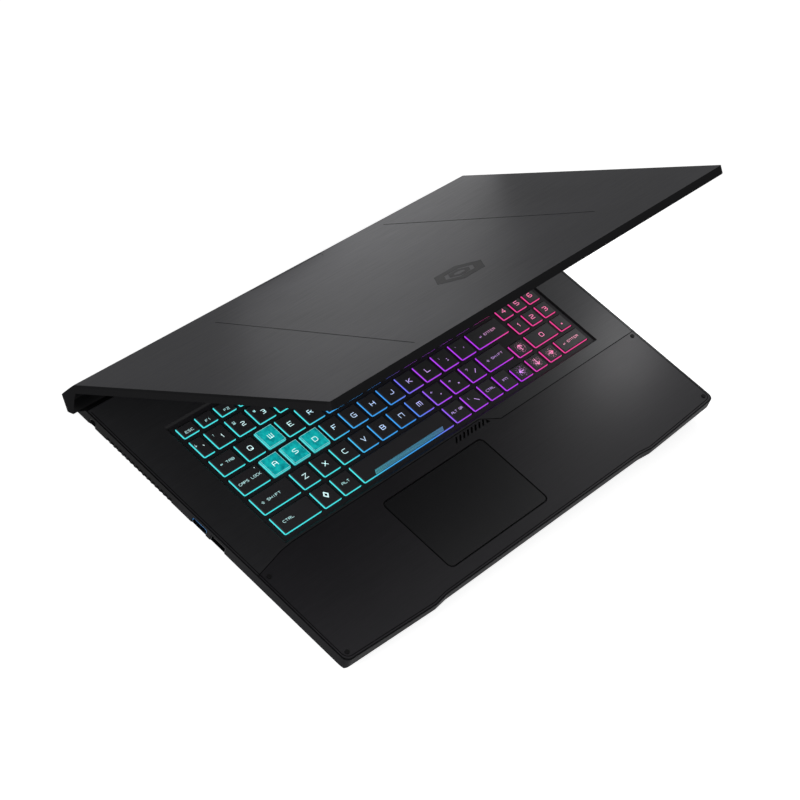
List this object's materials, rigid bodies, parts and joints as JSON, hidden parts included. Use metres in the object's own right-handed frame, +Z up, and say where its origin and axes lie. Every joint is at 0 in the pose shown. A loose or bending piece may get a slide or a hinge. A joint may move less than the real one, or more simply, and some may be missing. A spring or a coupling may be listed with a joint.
{
  "type": "laptop computer",
  "caption": "Large gaming laptop, lid half open, with a lit full-size keyboard with number pad, teal W A S D keys, wide touchpad, side sockets and cooling fans.",
  "frame": {"origin": "centre of the footprint on the table, level with the bottom of the rubber feet", "axes": "+X to the user's right, +Y away from the user towards the hinge, +Z up"},
  "size_m": [0.398, 0.2727, 0.1906],
  "materials": {
    "lid_metal": "brushed dark grey, satin",
    "deck_metal": "satin black",
    "palm_metal": "satin black",
    "shell_plastic": "matt dark grey",
    "side_plastic": "matt dark grey",
    "key_plastic": "matt black with lit skirts",
    "teal_key_plastic": "translucent teal, cloudy",
    "inner_plastic": "matt black",
    "switch_film": "semi-clear film",
    "foot_rubber": "matt black rubber",
    "pad_surface": "fine matt, dark",
    "steel_sheet": "pressed steel",
    "screw_steel": "blackened steel",
    "socket_steel": "plated steel",
    "blue_plastic": "blue socket tongue",
    "board_green": "green solder mask",
    "copper": "bare copper",
    "fin_aluminium": "bare fins",
    "cell_foil": "black wrapped cells",
    "bezel_plastic": "matt black",
    "screen_glass": "matt display surface",
    "hinge_steel": "forged steel",
    "cable_sleeve": "woven sleeve"
  },
  "bodies": {
    "base": {"bottom_cover": "shell_plastic", "side_frame": "side_plastic", "keyboard_deck": "deck_metal", "palm_rest": "palm_metal", "rubber_feet": "foot_rubber", "cover_screws": "screw_steel", "deck_bumpers": "foot_rubber", "key_grid": "inner_plastic", "keyboard_plate": "steel_sheet", "dome_sheet": "switch_film", "touchpad_bracket": "steel_sheet", "touchpad_switch": "socket_steel", "mainboard": "board_green", "heat_spreaders": "copper", "heat_pipes": "copper", "fin_stacks": "fin_aluminium", "left_fan_housing": "inner_plastic", "right_fan_housing": "inner_plastic", "battery": "cell_foil", "memory_modules": "board_green", "storage_drive": "board_green", "wireless_card": "board_green", "speakers": "inner_plastic", "power_socket": "inner_plastic", "left_usb_sockets": "blue_plastic", "right_usb_sockets": "socket_steel", "video_socket": "socket_steel", "network_socket": "inner_plastic", "audio_socket": "inner_plastic", "hinge_brackets": "hinge_steel"},
    "lid": {"lid_cover": "lid_metal", "screen_bezel": "bezel_plastic", "display_panel": "screen_glass", "webcam": "bezel_plastic", "hinge_arms": "hinge_steel", "hinge_pins": "hinge_steel", "display_cable": "cable_sleeve"},
    "left_fan": {"left_impeller": "inner_plastic"},
    "right_fan": {"right_impeller": "inner_plastic"},
    "touchpad_plate": {"touchpad": "pad_surface"},
    "power_switch": {"power_button": "deck_metal"},
    "cap_key_w": {"key_w": "teal_key_plastic"},
    "cap_key_a": {"key_a": "teal_key_plastic"},
    "cap_key_s": {"key_s": "teal_key_plastic"},
    "cap_key_d": {"key_d": "teal_key_plastic"},
    "cap_space_bar": {"space_bar": "key_plastic"},
    "cap_enter_key": {"enter_key": "key_plastic"},
    "cap_left_shift_key": {"left_shift_key": "key_plastic"},
    "cap_up_key": {"up_key": "key_plastic"},
    "cap_left_key": {"left_key": "key_plastic"},
    "cap_down_key": {"down_key": "key_plastic"},
    "cap_right_key": {"right_key": "key_plastic"},
    "cap_function_keys": {"function_keys": "key_plastic"},
    "cap_number_keys": {"number_keys": "key_plastic"},
    "cap_upper_letter_keys": {"upper_letter_keys": "key_plastic"},
    "cap_home_letter_keys": {"home_letter_keys": "key_plastic"},
    "cap_lower_letter_keys": {"lower_letter_keys": "key_plastic"},
    "cap_control_keys": {"control_keys": "key_plastic"},
    "cap_numpad_keys": {"numpad_keys": "key_plastic"}
  },
  "joints": [
    {"name": "lid_hinge", "type": "hinge", "parent": "base", "child": "lid", "pos_m": [0, 0.12525, 0.01166], "axis": [-1, 0, 0], "range_deg": [-41.2, 88.8]},
    {"name": "left_fan_shaft", "type": "hinge", "parent": "base", "child": "left_fan", "pos_m": [-0.126, 0.058, 0.009], "axis": [0, 0, 1], "continuous": true},
    {"name": "right_fan_shaft", "type": "hinge", "parent": "base", "child": "right_fan", "pos_m": [0.126, 0.058, 0.009], "axis": [0, 0, 1], "continuous": true},
    {"name": "touchpad_click", "type": "hinge", "parent": "base", "child": "touchpad_plate", "pos_m": [-0.0361, -0.05765, 0.0195], "axis": [1, 0, 0], "range_deg": [0, 0.6], "stiffness_Nm_per_rad": 4},
    {"name": "power_press", "type": "slide", "parent": "base", "child": "power_switch", "axis": [0, 0, -1], "range_m": [0, 0.0005], "stiffness_N_per_m": 500},
    {"name": "key_w_press", "type": "slide", "parent": "base", "child": "cap_key_w", "axis": [0, 0, -1], "range_m": [0, 0.0016], "stiffness_N_per_m": 300},
    {"name": "key_a_press", "type": "slide", "parent": "base", "child": "cap_key_a", "axis": [0, 0, -1], "range_m": [0, 0.0016], "stiffness_N_per_m": 300},
    {"name": "key_s_press", "type": "slide", "parent": "base", "child": "cap_key_s", "axis": [0, 0, -1], "range_m": [0, 0.0016], "stiffness_N_per_m": 300},
    {"name": "key_d_press", "type": "slide", "parent": "base", "child": "cap_key_d", "axis": [0, 0, -1], "range_m": [0, 0.0016], "stiffness_N_per_m": 300},
    {"name": "space_bar_press", "type": "slide", "parent": "base", "child": "cap_space_bar", "axis": [0, 0, -1], "range_m": [0, 0.0016], "stiffness_N_per_m": 300},
    {"name": "enter_key_press", "type": "slide", "parent": "base", "child": "cap_enter_key", "axis": [0, 0, -1], "range_m": [0, 0.0016], "stiffness_N_per_m": 300},
    {"name": "left_shift_key_press", "type": "slide", "parent": "base", "child": "cap_left_shift_key", "axis": [0, 0, -1], "range_m": [0, 0.0016], "stiffness_N_per_m": 300},
    {"name": "up_key_press", "type": "slide", "parent": "base", "child": "cap_up_key", "axis": [0, 0, -1], "range_m": [0, 0.0016], "stiffness_N_per_m": 300},
    {"name": "left_key_press", "type": "slide", "parent": "base", "child": "cap_left_key", "axis": [0, 0, -1], "range_m": [0, 0.0016], "stiffness_N_per_m": 300},
    {"name": "down_key_press", "type": "slide", "parent": "base", "child": "cap_down_key", "axis": [0, 0, -1], "range_m": [0, 0.0016], "stiffness_N_per_m": 300},
    {"name": "right_key_press", "type": "slide", "parent": "base", "child": "cap_right_key", "axis": [0, 0, -1], "range_m": [0, 0.0016], "stiffness_N_per_m": 300},
    {"name": "function_keys_press", "type": "slide", "parent": "base", "child": "cap_function_keys", "axis": [0, 0, -1], "range_m": [0, 0.0016], "stiffness_N_per_m": 1500},
    {"name": "number_keys_press", "type": "slide", "parent": "base", "child": "cap_number_keys", "axis": [0, 0, -1], "range_m": [0, 0.0016], "stiffness_N_per_m": 1500},
    {"name": "upper_letter_keys_press", "type": "slide", "parent": "base", "child": "cap_upper_letter_keys", "axis": [0, 0, -1], "range_m": [0, 0.0016], "stiffness_N_per_m": 1500},
    {"name": "home_letter_keys_press", "type": "slide", "parent": "base", "child": "cap_home_letter_keys", "axis": [0, 0, -1], "range_m": [0, 0.0016], "stiffness_N_per_m": 1500},
    {"name": "lower_letter_keys_press", "type": "slide", "parent": "base", "child": "cap_lower_letter_keys", "axis": [0, 0, -1], "range_m": [0, 0.0016], "stiffness_N_per_m": 1500},
    {"name": "control_keys_press", "type": "slide", "parent": "base", "child": "cap_control_keys", "axis": [0, 0, -1], "range_m": [0, 0.0016], "stiffness_N_per_m": 1500},
    {"name": "numpad_keys_press", "type": "slide", "parent": "base", "child": "cap_numpad_keys", "axis": [0, 0, -1], "range_m": [0, 0.0016], "stiffness_N_per_m": 1500}
  ]
}
